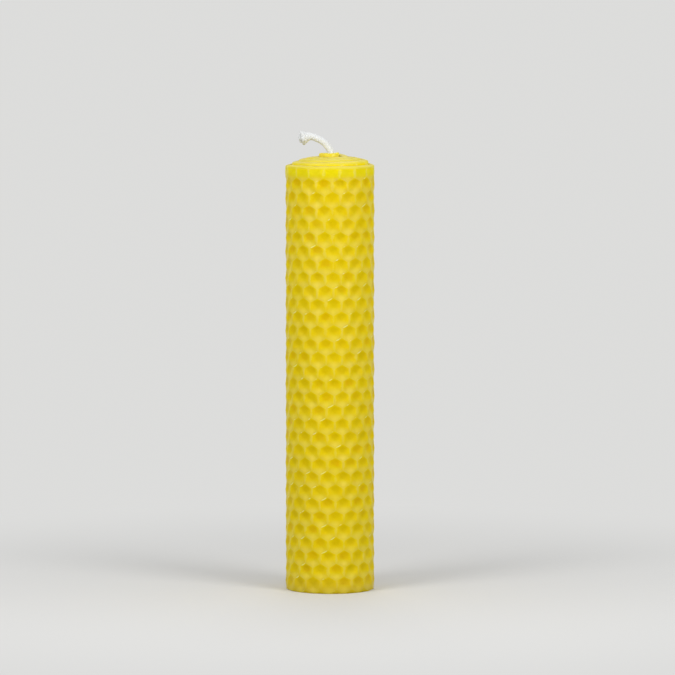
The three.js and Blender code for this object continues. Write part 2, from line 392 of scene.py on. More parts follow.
class SheetPlan:
    """What follows from the sheet's sizes."""

    def __init__(self, sizes):
        self.sizes = sizes
        self.half = sizes.thickness / 2
        self.pitch = sizes.thickness + sizes.turn_gap
        self.front = (sizes.diameter - sizes.thickness) / 2
        self.front_length = math.pi * (self.front**2 - sizes.start_radius**2) / self.pitch
        self.axis = Vector((self.pitch / 4, axis_y, 0))
        self.cell_side = sizes.cell_width / math.sqrt(3)
        self.row_pitch = 1.5 * self.cell_side
        self.rise = Vector((math.sin(sizes.askew), math.cos(sizes.askew), 0))
        self.run = Vector((math.cos(sizes.askew), -math.sin(sizes.askew), 0))
        self.lattice_origin = Vector((self.front_length + sizes.first_cell_shift, sizes.first_row_height, 0))
        rim_point = Vector((self.front_length, sizes.rim_height, 0))
        self.rim = (rim_point - self.lattice_origin).dot(self.rise)
        self.outer_end = sizes.outer_end * sizes.cell_width - sizes.end_trim

    def lattice_matrix(self):
        """From the lattice to the flat sheet."""
        turn = Matrix.Rotation(-self.sizes.askew, 4, "Z")
        return Matrix.Translation(self.lattice_origin) @ turn

    def below_rim(self, point):
        return self.rim - (point - self.lattice_origin).dot(self.rise)

    def before_end(self, point):
        return self.outer_end - (point - self.lattice_origin).dot(self.run)


def pit_depth(sizes, x, y, ring, spoke):
    """Depth of a cell at a point on the ring that is this share of its size."""
    turn = math.atan2(y, x)
    corners = [math.radians(corner) for corner in FLOOR_CORNERS]
    rise = max(x * math.cos(corner) + y * math.sin(corner) for corner in corners)
    floor = sizes.pit_depth - sizes.floor_slope * rise
    upper = max(math.sin(turn), 0)
    lower = max(-math.sin(turn), 0)
    share = sizes.side_wall
    share += (sizes.upper_wall - share) * upper + (sizes.lower_wall - share) * lower
    level = sizes.ridge_width / sizes.cell_width
    wall = min(max(1 - ring - level, 0) / share, 1)
    rounded = wall * wall * (3 - 2 * wall)
    sharp = wall * (2 - wall)
    sag = sizes.ridge_sag * SAG[spoke % len(SAG)]
    return sag + (floor - sag) * (rounded + (sharp - rounded) * upper)


def cell_object(name, sizes, rings):
    """One sunk cell round the origin, its mouth level with the ridges."""
    points = []
    for ring in rings:
        for spoke in range(SPOKES):
            turn = math.tau * spoke / SPOKES
            reach = sizes.cell_width / (math.sqrt(3) if spoke % 2 else 2)
            if spoke % 2 and ring < 1:
                reach *= 1 - CORNER_ROUNDING
            x = ring * reach * math.cos(turn)
            y = ring * reach * math.sin(turn)
            points.append((x, y, -pit_depth(sizes, x, y, ring, spoke)))
    middle = len(points)
    points.append((0, 0, -pit_depth(sizes, 0, 0, 0, 0)))
    faces = []
    for outer in range(0, middle, SPOKES):
        inner = outer + SPOKES
        for spoke in range(SPOKES):
            following = (spoke + 1) % SPOKES
            if inner < middle:
                faces.append((outer + spoke, outer + following, inner + following, inner + spoke))
            else:
                faces.append((outer + spoke, outer + following, middle))
    mesh = bpy.data.meshes.new(name)
    mesh.from_pydata(points, [], faces)
    corners = [points[vertex] for face in faces for vertex in face]
    ridge_points = 2 * SPOKES
    for label, domain, values in (
        ("pit", "POINT", [-point[2] / sizes.pit_depth for point in points]),
        ("cell_x", "CORNER", [corner[0] / sizes.cell_width for corner in corners]),
        ("cell_y", "CORNER", [corner[1] / sizes.cell_width for corner in corners]),
        ("catch", "POINT", [CATCH.get(k % SPOKES, 0) * (k < ridge_points) for k in range(len(points))]),
    ):
        mesh.attributes.new(label, "FLOAT", domain).data.foreach_set("value", values)
    return new_object(name, mesh)


def honeycomb_tree():
    """Repeats the two cells over the flat sheet's lattice, with a plain back."""
    numbers = (
        "cell_width", "first_column", "columns", "first_row", "rows", "fine_from", "half_thickness",
        "shallowest", "wobble", "rim", "foot", "seed",
    )
    tree = GeometryTree("honeycomb array", numbers, objects=("fine_cell", "coarse_cell"))
    given = tree.given
    row_pitch = tree.multiply(given["cell_width"], math.sqrt(3) / 2)
    index = tree.out("GeometryNodeInputIndex")
    row_count = tree.math("FLOOR", tree.divide(index, given["columns"]))
    column_count = tree.subtract(index, tree.multiply(row_count, given["columns"]))
    row = tree.add(row_count, given["first_row"])
    offset = tree.multiply(tree.math("FLOORED_MODULO", row, 2.0), 0.5)
    u = tree.multiply(tree.add(column_count, given["first_column"], offset), given["cell_width"])
    place = tree.combine(u, tree.multiply(row, row_pitch), given["half_thickness"])
    count = tree.multiply(given["columns"], given["rows"])
    points = tree.out("GeometryNodePoints", {"Count": count, "Position": place})
    points = tree.store(points, "cell_tone", tree.random(index, given["seed"], 0.0))

    position = tree.out("GeometryNodeInputPosition")
    across, up, out = tree.split(position)
    shows = tree.math("GREATER_THAN", across, given["fine_from"])
    cells = []
    for name, chosen in (("fine_cell", shows), ("coarse_cell", tree.subtract(1.0, shows))):
        cell = tree.node("GeometryNodeObjectInfo", {"Object": given[name]}).outputs["Geometry"]
        inputs = {"Points": points, "Selection": chosen, "Instance": cell}
        cells.append(tree.out("GeometryNodeInstanceOnPoints", inputs))
    real = tree.out("GeometryNodeRealizeInstances", {"Geometry": tree.join(*cells)})
    face = tree.out("GeometryNodeMergeByDistance", {"Geometry": real, "Distance": MERGE_DISTANCE})

    # Handling moves the ridges, and flattens the cells towards the rim
    start = tree.subtract(given["rim"], PRESS_START)
    end = tree.subtract(given["rim"], PRESS_END)
    press = tree.multiply(
        tree.ease(up, start, end, 1.0, PRESSED_DEPTH),
        tree.ease(up, given["foot"], tree.add(given["foot"], FOOT_PRESS), FOOT_DEPTH, 1.0),
    )
    uneven = tree.ease(tree.noise(position, PATCH_SCALE), *NOISE_CORE, given["shallowest"], 1.0)
    sunk = tree.multiply(tree.subtract(given["half_thickness"], out), press, uneven)
    wobble = tree.noise(position, WOBBLE_SCALE, output="Color")
    drift = tree.vector("SUBTRACT", wobble, (0.5, 0.5, 0.5))
    drift = tree.split(tree.scaled(drift, given["wobble"]))
    moved = tree.combine(
        tree.add(across, tree.multiply(drift[0], WOBBLE_ALONG)),
        tree.add(up, tree.multiply(drift[1], WOBBLE_ALONG)),
        tree.add(tree.subtract(given["half_thickness"], sunk), drift[2]),
    )
    face = tree.set_position(face, moved)
    face = tree.store(face, "pressed", tree.subtract(1.0, press))

    inputs = {
        "Size X": tree.multiply(given["columns"], given["cell_width"]),
        "Size Y": tree.multiply(given["rows"], row_pitch),
        "Vertices X": tree.add(tree.multiply(given["columns"], BACK_POINTS), 1.0),
        "Vertices Y": BACK_ROWS,
    }
    back = tree.node("GeometryNodeMeshGrid", inputs).outputs["Mesh"]
    middle_column = tree.add(given["first_column"], tree.multiply(given["columns"], 0.5))
    middle_row = tree.add(given["first_row"], tree.multiply(given["rows"], 0.5))
    middle = tree.combine(
        tree.multiply(middle_column, given["cell_width"]),
        tree.multiply(middle_row, row_pitch),
        tree.multiply(given["half_thickness"], -1.0),
    )
    back = tree.out("GeometryNodeTransform", {"Geometry": back, "Translation": middle})
    tree.finish(tree.join(face, back))
    return tree


def emboss(plan, material):
    """The flat sheet's face and back in the lattice, wider than needed on every side."""
    sizes = plan.sizes
    inner_end = -(plan.front_length + sizes.first_cell_shift + plan.rim * plan.rise.x)
    foot = inner_end * plan.rise.x - sizes.first_row_height
    margin = WOBBLE_ALONG * sizes.wobble
    first_column = math.floor((inner_end - margin) / sizes.cell_width)
    last_column = math.ceil(sizes.outer_end)
    first_row = math.floor((foot - margin) / plan.row_pitch)
    last_row = math.ceil((plan.rim + margin) / plan.row_pitch)
    outer_turn = math.tau * (plan.front + plan.pitch / 2)
    fine = cell_object("cell_fine", sizes, FINE_RINGS)
    coarse = cell_object("cell_coarse", sizes, COARSE_RINGS)
    blank = new_object("honeycomb_wax")
    honeycomb_tree().apply(
        blank,
        sizes,
        first_column=first_column,
        columns=last_column - first_column + 1,
        first_row=first_row,
        rows=last_row - first_row + 1,
        fine_from=plan.outer_end - outer_turn - FINE_MARGIN * sizes.cell_width,
        half_thickness=plan.half,
        rim=plan.rim,
        foot=-sizes.first_row_height,
        fine_cell=fine,
        coarse_cell=coarse,
        material=material,
    )
    for cell in (fine, coarse):
        bpy.data.objects.remove(cell)
    return blank


def cut(bm, point, normal, clear):
    """Cuts the mesh by a plane, and on wish clears what lies past it."""
    bmesh.ops.bisect_plane(
        bm,
        geom=bm.verts[:] + bm.edges[:] + bm.faces[:],
        dist=CUT_TOLERANCE,
        plane_co=point,
        plane_no=normal,
        clear_outer=clear,
    )


def trim(bm, plan):
    """Cuts the sheet to size, with lines of points just inside each edge for its rounding."""
    rim = plan.lattice_origin + plan.rim * plan.rise
    end = plan.lattice_origin + plan.outer_end * plan.run
    inwards = Vector((-1, 0, 0))
    down = Vector((0, -1, 0))
    for inset in (*RIM_CUTS, 0):
        cut(bm, rim - inset * MM * plan.rise, plan.rise, clear=inset == 0)
    for inset in (*END_CUTS, 0):
        cut(bm, end - inset * MM * plan.run, plan.run, clear=inset == 0)
        cut(bm, -inset * MM * inwards, inwards, clear=inset == 0)
    for inset in (*FOOT_CUTS, 0):
        cut(bm, -inset * MM * down, down, clear=inset == 0)


def bridge(bm, first, second, axis):
    """Fills between two lines of points, both in order along an axis."""
    steps = [(vert.co[axis], side) for side, line in enumerate((first, second)) for vert in line[1:]]
    i = j = 0
    for _, side in sorted(steps):
        if side == 0:
            bm.faces.new((first[i], first[i + 1], second[j]))
            i += 1
        else:
            bm.faces.new((first[i], second[j + 1], second[j]))
            j += 1


def edge_inset(distance, radius):
    """How far a rounded edge draws in at a distance from it."""
    if distance >= radius:
        return 0
    return radius - math.sqrt(radius**2 - (radius - max(distance, 0)) ** 2)


def close_edges(bm, plan):
    """Joins the face and the back along the four edges, and rounds them."""
    lip = plan.sizes.lip_radius
    # The distance from each edge, the axis along it and its rounding: the rim, the foot and the ends
    edges = (
        (plan.below_rim, 0, lip),
        (lambda point: point.y, 0, FOOT_RADIUS),
        (lambda point: point.x, 1, lip),
        (plan.before_end, 1, lip),
    )
    border = [vert for vert in bm.verts if vert.is_boundary]
    lines = []
    for distance, axis, _ in edges:
        edge = [vert for vert in border if abs(distance(vert.co)) < 2 * CUT_TOLERANCE]
        edge.sort(key=lambda vert: vert.co[axis])
        back = [vert for vert in edge if vert.co.z < CUT_TOLERANCE - plan.half]
        face = [vert for vert in edge if vert.co.z >= CUT_TOLERANCE - plan.half]
        lines.append((face, back, axis))
    for vert in bm.verts:
        inset = max(edge_inset(distance(vert.co), radius) for distance, _, radius in edges)
        vert.co.z *= 1 - inset / plan.half
    for face, back, axis in lines:
        bridge(bm, face, back, axis)


def roll_tree():
    """Rolls the flat sheet up, and presses its top edge into a low cone."""
    numbers = (
        "pitch", "start_radius", "front_radius", "front_length", "whole_length", "rim_height", "askew",
        "top_slant", "top_swell", "turn_gap",
    )
    tree = GeometryTree("sheet roll", numbers, vectors=("axis",))
    given = tree.given
    s, z, h = tree.split(tree.out("GeometryNodeInputPosition"))
    from_front = tree.subtract(s, given["front_length"])
    straight_rim = tree.subtract(
        given["rim_height"], tree.multiply(from_front, tree.math("TANGENT", given["askew"]))
    )
    below = tree.subtract(straight_rim, z)
    top = tree.ease(below, *TOP_BLEND, 1.0, 0.0)
    longest = CLIMB_CURVE[-1][0]
    highest = max(climb for _, climb in CLIMB_CURVE)
    points = [(along / longest, climb / highest) for along, climb in CLIMB_CURVE]
    climb = tree.curve(tree.divide(s, longest * MM), points)
    steepness = tree.math("MINIMUM", tree.divide(s, SLANT_FULL), 1.0)
    slant = tree.multiply(tree.ease(s, *SLANT_START), steepness, given["top_slant"], h)
    lift = tree.subtract(tree.multiply(climb, highest * MM), slant)
    height = tree.add(z, tree.multiply(top, lift))
    inside = tree.multiply(tree.ease(s, *SWELL_START), tree.ease(s, *SWELL_END, 1.0, 0.0))
    swell = tree.add(1.0, tree.multiply(top, inside, given["top_swell"]))

    growth = tree.divide(tree.multiply(s, given["pitch"]), math.pi)
    squared = tree.add(tree.multiply(given["start_radius"], given["start_radius"]), growth)
    radius = tree.math("SQRT", squared)
    turns = tree.divide(tree.subtract(radius, given["front_radius"]), given["pitch"])
    turn = tree.subtract(FRONT, tree.multiply(turns, math.tau))
    seam_start = tree.subtract(given["whole_length"], SEAM_PRESS)
    drop = tree.ease(s, seam_start, given["whole_length"], 0.0, SEAM_DROP)
    out = tree.subtract(
        tree.add(radius, tree.multiply(h, swell)), tree.multiply(drop, given["turn_gap"])
    )
    place = tree.combine(
        tree.multiply(out, tree.math("COSINE", turn)), tree.multiply(out, tree.math("SINE", turn)), height
    )
    # The cut top edge, whose pale colour is partly a painted highlight of the light from above
    pale = tree.ease(below, CUT_EDGE_START, tree.ease(s, *SLANT_START, *CUT_EDGE), 1.0, 0.0)
    rolled = tree.store(given["Geometry"], "cut_edge", pale)
    rolled = tree.set_position(rolled, tree.vector("ADD", place, given["axis"]))
    tree.finish(tree.out("GeometryNodeFlipFaces", {"Mesh": rolled}))
    return tree


def make_sheet(sizes, material):
    """The rolled honeycomb sheet, as one closed mesh."""
    plan = SheetPlan(sizes)
    sheet = emboss(plan, material)
    sheet.data.transform(plan.lattice_matrix())
    bm = bmesh.new()
    bm.from_mesh(sheet.data)
    trim(bm, plan)
    close_edges(bm, plan)
    bmesh.ops.recalc_face_normals(bm, faces=bm.faces)
    bm.to_mesh(sheet.data)
    bm.free()
    roll_tree().apply(
        sheet,
        sizes,
        pitch=plan.pitch,
        front_radius=plan.front,
        front_length=plan.front_length,
        whole_length=plan.front_length + sizes.first_cell_shift + plan.outer_end,
        axis=plan.axis,
        material=material,
    )
    return sheet


# The wick: yarns that wind both ways, over and under each other, round straight core yarns

# The stub's route from the collar's rim in millimetres: to the left of the axis, and up
STUB_ROUTE = ((0.2, 0.2), (1.3, 2.2), (2.7, 3.8), (5.0, 5.1), (7.4, 5.9), (9.8, 5.5), (12.0, 5.0))
ROUTE_STEPS = 12  # between two points of the route
YARN_STEPS = 420
YARN_SIDES = 8
END_SWELL = 0.4  # of a yarn's cut end
END_LENGTH = 3.6 * MM  # of the swelling
END_SCATTER = 0.5 * MM  # how unevenly the yarns are cut
END_ROUNDING = 0.5 * MM  # before the cut, where a yarn narrows to about half its width
END_TIP = -0.1  # the width that the narrowing would reach as far past the cut
FRAY_LEVEL = 0.3  # of the fray length, past the cut, where the spreading would level off
FRAY_BACK = 1.2 * MM  # how far the outer yarns' ends curl back
LEAST_SPREAD = 0.8  # of the fray spread
UNEVEN_SPREAD = 0.45  # how much more some yarns spread
CORE_SPREAD = 0.5  # how much less the straight yarns do


def smooth_route(points):
    """Points on the centripetal Catmull-Rom curve through the given ones."""
    before = points[0] * 2 - points[1]
    after = points[-1] * 2 - points[-2]
    stops = [before, *points, after]
    route = []
    for start in range(len(points) - 1):
        a, b, c, d = stops[start : start + 4]
        t0 = 0
        t1 = t0 + math.sqrt((b - a).length)
        t2 = t1 + math.sqrt((c - b).length)
        t3 = t2 + math.sqrt((d - c).length)
        for step in range(ROUTE_STEPS):
            t = t1 + (t2 - t1) * step / ROUTE_STEPS
            ab = a.lerp(b, (t - t0) / (t1 - t0))
            bc = b.lerp(c, (t - t1) / (t2 - t1))
            cd = c.lerp(d, (t - t2) / (t3 - t2))
            abc = ab.lerp(bc, (t - t0) / (t2 - t0))
            bcd = bc.lerp(cd, (t - t1) / (t3 - t1))
            route.append(abc.lerp(bcd, (t - t1) / (t2 - t1)))
    return [*route, points[-1]]


def wick_route(sizes, plan):
    """The wick's centre line, from its foot up the roll's axis and along the bent stub."""
    collar = Vector((0, 0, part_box("honeycomb_sheet")[1].z))
    foot = Vector((0, 0, sizes.foot_inset))
    bend = collar - Vector((0, 0, sizes.lead_in))
    stub = [collar + Vector((-left * MM, 0, up * MM)) for left, up in STUB_ROUTE]
    route = [foot, *smooth_route([bend, (bend + collar) / 2, *stub])]
    return [plan.axis + point for point in route]


def braid_tree():
    """Lays the wick's yarns along a path, and frays their ends."""
    numbers = (
        "yarns", "core_yarns", "yarn_radius", "braid_radius", "core_radius", "crossing", "lay",
        "fray_length", "fray_spread", "seed",
    )
    tree = GeometryTree("braid", numbers)
    given = tree.given
    path = tree.out("GeometryNodeMeshToCurve", {"Mesh": given["Geometry"]})
    path = tree.out("GeometryNodeResampleCurve", {"Curve": path, "Count": YARN_STEPS})
    whole = tree.out("GeometryNodeCurveLength", {"Curve": path})
    winding = tree.multiply(given["yarns"], 2.0)
    inputs = {"Geometry": path, "Amount": tree.add(winding, given["core_yarns"])}
    copies = tree.node("GeometryNodeDuplicateElements", inputs, domain="SPLINE")
    yarns = tree.store(copies.outputs["Geometry"], "yarn_index", copies.outputs["Duplicate Index"])
    index = tree.out("GeometryNodeInputNamedAttribute", {"Name": "yarn_index"})
    is_core = tree.math("GREATER_THAN", index, tree.subtract(winding, 0.5))
    is_braid = tree.subtract(1.0, is_core)

    along = tree.node("GeometryNodeSplineParameter").outputs["Length"]
    scatter = tree.multiply(tree.random(index, given["seed"], 0.0), END_SCATTER)
    past_end = tree.math("GREATER_THAN", along, tree.subtract(whole, scatter))
    inputs = {"Geometry": yarns, "Selection": past_end}
    yarns = tree.out("GeometryNodeDeleteGeometry", inputs, domain="POINT")

    backwards = tree.math("FLOOR", tree.divide(index, given["yarns"]))
    way = tree.multiply(is_braid, tree.subtract(1.0, tree.multiply(backwards, 2.0)))
    in_ring, reach = [
        tree.add(tree.multiply(is_braid, given[outer]), tree.multiply(is_core, given[inner]))
        for outer, inner in (("yarns", "core_yarns"), ("braid_radius", "core_radius"))
    ]
    between = tree.multiply(is_braid, backwards, 0.5)
    first = tree.divide(tree.multiply(tree.add(index, between), math.tau), in_ring)
    wound = tree.divide(tree.multiply(tree.subtract(along, whole), math.tau), given["lay"])
    turn = tree.add(tree.multiply(way, wound), first)
    over = tree.multiply(tree.math("SINE", tree.multiply(wound, given["yarns"])), way)
    fray_start = tree.subtract(whole, given["fray_length"])
    fray_level = tree.add(whole, tree.multiply(given["fray_length"], FRAY_LEVEL))
    at_cut = 1 / (1 + FRAY_LEVEL)
    fray = tree.ease(along, fray_start, fray_level, 0.0, 1 / (at_cut**2 * (3 - 2 * at_cut)))
    uneven = tree.multiply(tree.random(index, given["seed"], 1.0), UNEVEN_SPREAD)
    spread = tree.multiply(
        fray,
        tree.add(LEAST_SPREAD, uneven),
        given["fray_spread"],
        tree.subtract(1.0, tree.multiply(is_core, CORE_SPREAD)),
    )
    rise = tree.multiply(over, given["crossing"], tree.subtract(1.0, fray))
    reach = tree.add(reach, rise, spread)

    tangent = tree.out("GeometryNodeInputTangent")
    normal = tree.out("GeometryNodeInputNormal")
    sideways = tree.vector("CROSS_PRODUCT", tangent, normal)
    place = tree.out("GeometryNodeInputPosition")
    for direction, distance in (
        (normal, tree.multiply(reach, tree.math("COSINE", turn))),
        (sideways, tree.multiply(reach, tree.math("SINE", turn))),
        (tangent, tree.multiply(fray, is_braid, -FRAY_BACK)),
    ):
        place = tree.vector("ADD", place, tree.scaled(direction, distance))
    yarns = tree.set_position(yarns, place)
    yarns = tree.store(yarns, "yarn_along", along)

    own_length = tree.node("GeometryNodeSplineLength").outputs["Length"]
    to_end = tree.subtract(own_length, along)
    swell = tree.ease(to_end, 0.0, END_LENGTH, 1.0 + END_SWELL, 1.0)
    rounding = tree.ease(to_end, -END_ROUNDING, END_ROUNDING, END_TIP, 1.0)
    width = tree.multiply(given["yarn_radius"], swell, rounding)
    inputs = {"Resolution": YARN_SIDES, "Radius": 1.0}
    profile = tree.out("GeometryNodeCurvePrimitiveCircle", inputs)
    corner = tree.out("GeometryNodeInputPosition")
    profile = tree.store(profile, "yarn_side", corner, "FLOAT_VECTOR")
    inputs = {"Curve": yarns, "Profile Curve": profile, "Scale": width, "Fill Caps": True}
    tree.finish(tree.out("GeometryNodeCurveToMesh", inputs))
    return tree


def make_wick(sizes, plan, material):
    """The braided wick, as closed yarns round a core."""
    route = wick_route(sizes, plan)
    wick = new_object("cotton_wick")
    wick.data.from_pydata(route, [(k, k + 1) for k in range(len(route) - 1)], [])
    braid_tree().apply(wick, sizes, material=material)
    return wick


# Materials

# Where the wax's colours lie in a cell: from and to, in cell widths from its middle or as shares of its
# depth, and how strong they are there, if not 0 and 1
# The painted shade under a cell's upper wall
SHADE_UP = (-0.06, 0.14)
SHADE_ASIDE = (0.2, 0.36, 1.0, 0.0)
SHADE_REACH = (0.43, 0.54, 1.0, 0.0)
SHADE_DEPTH = (0.05, 0.3)
# The bloom and painted highlight on what faces up in a cell, and on its upright ridges
HIGHLIGHT_UP = (-0.35, 0.05, 1.0, 0.0)
HIGHLIGHT_ASIDE = (0.34, 0.5, 1.0, 0.3)
HIGHLIGHT_DEPTH = (0.0, 0.1)
RIDGE_ASIDE = (0.38, 0.48)
RIDGE_DEPTH = (0.3, 0.6, 1.0, 0.0)
# The painted glints on the uprights of the rim
UPRIGHT_GLINT_ASIDE = (0.38, 0.5, 0.0, 0.2)
RAGGED = 0.3  # how far the edges of these wander, in cell widths
# Likewise over the cells' tones, the share pressed away and the height above the foot
SHADE_TONES = (0.0, 0.6, 0.6, 1.0)
AMBER_TONES = (0.6, 1.0)
SMOOTH_PRESS = (0.0, 0.6)
# How much of the bloom and painted highlight stays where the rim is pressed smooth
SMOOTH_BLOOM_AND_HIGHLIGHT = (0.0, 1.0, 1.0, 0.3)
# The painted shade at the foot: from and to a height above it, and how strong
FOOT_SHADE = (0.0, 7 * MM, 0.65, 0.0)
# Scales of the noises that break these up, and how strong they are at a noise's least and most
CLOUD_SCALE = 140.0
GRAIN_SCALE = 1500.0
RAGGED_SCALE = 520.0
MOTTLE_SCALE = 800.0
GLINT_SCALE = 260.0
MOTTLED = (0.65, 1.0)
HIGHLIGHT_CLOUD = (0.6, 1.0)
RIDGE_CLOUD = (0.45, 1.0)
GLINT_NOISE = (0.525, 0.605)  # values of its noise between which a painted glint fades in
GLINT_CATCH = (0.3, 0.7)  # the same, with the ridge's catch in it
WAX_ROUGHNESS = (0.4, 0.55)
WAX_SHINE = (0.0, 0.8, 0.15, 0.35)  # from bare wax to the bloom and its painted highlight
GLOW_DEPTH = 2.5 * MM  # how far light spreads inside the wax
GLOW_COLOUR = (1.0, 0.95, 0.15)  # shares of that for red, green and blue
GRAIN_HEIGHT = 0.05 * MM
PLIES = 3.0  # twisted together in one yarn
PLY_LENGTH = 1.1 * MM  # along the yarn, from one ply to the next
PLY_HEIGHT = 0.35  # as a share of the fibres'
FIBRE_SCALE = 3500.0
FIBRE_HEIGHT = 0.06 * MM
FIBRE_SHADE = (0.1, 1.1)  # heights between which the shade fades out


def new_material(name):
    """A material, its graph, its shader, and where on the object it is looked up."""
    material = bpy.data.materials.new(name)
    material.use_nodes = True
    graph = Graph(material.node_tree)
    place = graph.node("ShaderNodeTexCoord").outputs["Object"]
    return material, graph, graph.nodes["Principled BSDF"], place


def wax_material(finishes):
    """Satin beeswax lit through from within: painted shade makes it saturated in the cells, painted highlight
    and bloom make it pale on the ridges.
    """
    material, graph, shader, place = new_material("beeswax")
    names = ("pit", "cell_x", "cell_y", "cell_tone", "cut_edge")
    pit, x, y, tone, cut_edge = [graph.attribute(name) for name in names]
    smooth = graph.ease(graph.attribute("pressed"), *SMOOTH_PRESS)
    rough = graph.subtract(1.0, smooth)
    cloud = graph.noise(place, CLOUD_SCALE, 4.0)
    grain = graph.noise(place, GRAIN_SCALE, 3.0)
    mottle = graph.noise(place, MOTTLE_SCALE)
    ragged = graph.multiply(graph.subtract(graph.noise(place, RAGGED_SCALE), 0.5), RAGGED)
    aside = graph.add(graph.math("ABSOLUTE", x), ragged)
    reach = graph.math("SQRT", graph.add(graph.multiply(x, x), graph.multiply(y, y)))

    # The painted shade under a cell's upper wall, which faces down, away from the light
    hood = graph.multiply(
        graph.ease(graph.add(y, ragged), *SHADE_UP),
        graph.ease(aside, *SHADE_ASIDE),
        graph.ease(graph.add(reach, ragged), *SHADE_REACH),
        graph.ease(pit, *SHADE_DEPTH),
        graph.ease(mottle, *NOISE_RANGE, *MOTTLED),
    )
    painted_shade = graph.multiply(rough, hood, graph.ease(tone, *SHADE_TONES))
    # Pale wax bloom and a painted highlight on what faces up, where the light from above falls, and on the
    # upright ridges
    painted_upward_highlight = graph.multiply(
        graph.ease(y, *HIGHLIGHT_UP),
        graph.ease(aside, *HIGHLIGHT_ASIDE),
        graph.ease(cloud, *NOISE_RANGE, *HIGHLIGHT_CLOUD),
        graph.ease(pit, *HIGHLIGHT_DEPTH),
    )
    ridge = graph.multiply(
        graph.ease(aside, *RIDGE_ASIDE),
        graph.ease(pit, *RIDGE_DEPTH),
        graph.ease(cloud, *NOISE_CORE, *RIDGE_CLOUD),
    )
    bloom_and_highlight = graph.multiply(graph.math("MAXIMUM", painted_upward_highlight, ridge), graph.ease(smooth, *SMOOTH_BLOOM_AND_HIGHLIGHT))
    # Painted glints where the slanted ridges catch the light, and on the uprights where the rim is pressed
    # smooth
    glint_spots = graph.ease(graph.noise(place, GLINT_SCALE), *GLINT_NOISE)
    ridge_glint = graph.ease(graph.multiply(graph.attribute("catch"), glint_spots), *GLINT_CATCH)
    upright_glint = graph.ease(aside, *UPRIGHT_GLINT_ASIDE)
    painted_glint = graph.math("MAXIMUM", graph.multiply(rough, ridge_glint), graph.multiply(smooth, upright_glint))

    wax = graph.mix(smooth, finishes.wax_face, finishes.wax_smooth)
    # The painted shade's colour, more amber in the cells of darker tone
    shade = graph.mix(graph.ease(tone, *AMBER_TONES), finishes.wax_painted_shade, finishes.wax_amber_painted_shade)
    # Painted shade, darker towards the foot
    painted_foot_shade = graph.ease(graph.split(place)[2], *FOOT_SHADE)
    for share, layer in (
        (painted_shade, shade),
        (bloom_and_highlight, finishes.wax_bloom_and_highlight),
        (cut_edge, finishes.wax_cut_with_highlight),
        (painted_glint, finishes.wax_painted_glint),
        (painted_foot_shade, finishes.wax_painted_foot_shade),
    ):
        wax = graph.mix(share, wax, layer)
    graph.feed(shader, {
        "Base Color": wax,
        "Roughness": graph.ease(cloud, *NOISE_RANGE, *WAX_ROUGHNESS),
        "Specular IOR Level": graph.ease(graph.math("MAXIMUM", bloom_and_highlight, cut_edge), *WAX_SHINE),
        "Subsurface Weight": 0.7,
        "Subsurface Radius": GLOW_COLOUR,
        "Subsurface Scale": GLOW_DEPTH,
        "IOR": 1.44,
        "Normal": graph.bump(grain, 0.25, GRAIN_HEIGHT),
    })
    return material


def cotton_material(finishes):
    """Bleached cotton yarn with twisted fibres and a soft sheen."""
    material, graph, shader, place = new_material("cotton")
    across = graph.split(graph.attribute("yarn_side", "Vector"))
    round_yarn = graph.math("ARCTAN2", across[1], across[0])
    along = graph.multiply(graph.attribute("yarn_along"), math.tau / PLY_LENGTH)
    plies = graph.math("SINE", graph.add(graph.multiply(round_yarn, PLIES), along))
    height = graph.add(graph.multiply(plies, PLY_HEIGHT), graph.noise(place, FIBRE_SCALE, 3.0))
    graph.feed(shader, {
        "Base Color": graph.mix(graph.ease(height, *FIBRE_SHADE), finishes.cotton_shade, finishes.cotton),
        "Roughness": 0.9,
        "Sheen Weight": 0.3,
        "Sheen Roughness": 0.5,
        "Normal": graph.bump(height, 0.35, FIBRE_HEIGHT),
    })
    return material


# The stage

FLOOR_BOUNCE = 0.05  # of the floor's light that reaches the candle
FLOOR_FADE = (0.04, 0.25)  # from the candle, where the lit floor turns into the even colour
SKY_STRENGTH = 0.5
LAMPS = (
    # name, place, aim height, size, power
    ("left_lamp", (-0.385, -0.385, 0.30), 0.12, 0.3, 1.69),
    ("right_lamp", (0.385, -0.385, 0.30), 0.12, 0.3, 1.76),
    ("back_lamp", (0.0, 0.5, 0.62), 0.12, 0.4, 0.6),
)


def seen_rays(graph):
    """One for the rays that see the background, and zero for those that light the candle."""
    ray = graph.node("ShaderNodeLightPath").outputs
    seen = graph.math("MAXIMUM", ray["Is Camera Ray"], ray["Is Glossy Ray"])
    return graph.math("MAXIMUM", seen, ray["Is Transmission Ray"])


def show_in_part(graph, share, first, second, output):
    """Sends a mix of two shaders to the output."""
    mixed = graph.node("ShaderNodeMixShader", {0: share, 1: first.outputs[0], 2: second.outputs[0]})
    graph.feed(graph.nodes[output], {"Surface": mixed.outputs[0]})


def floor_material(stage):
    """Lit near the candle, so that its shadow shows, and an even pale colour farther off."""
    material, graph, shader, place = new_material("pale_floor")
    seen = seen_rays(graph)
    bounce = [channel * FLOOR_BOUNCE for channel in stage.floor_colour]
    near = graph.mix(seen, bounce, stage.floor_colour)
    graph.feed(shader, {"Base Color": near, "Roughness": 0.8, "Specular IOR Level": 0.1})
    distance = graph.node("ShaderNodeVectorMath", {0: place}, operation="LENGTH").outputs["Value"]
    far = graph.multiply(seen, graph.ease(distance, *FLOOR_FADE))
    even = graph.node("ShaderNodeEmission", {"Color": stage.floor_colour, "Strength": 1.0})
    show_in_part(graph, far, shader, even, "Material Output")
    return material


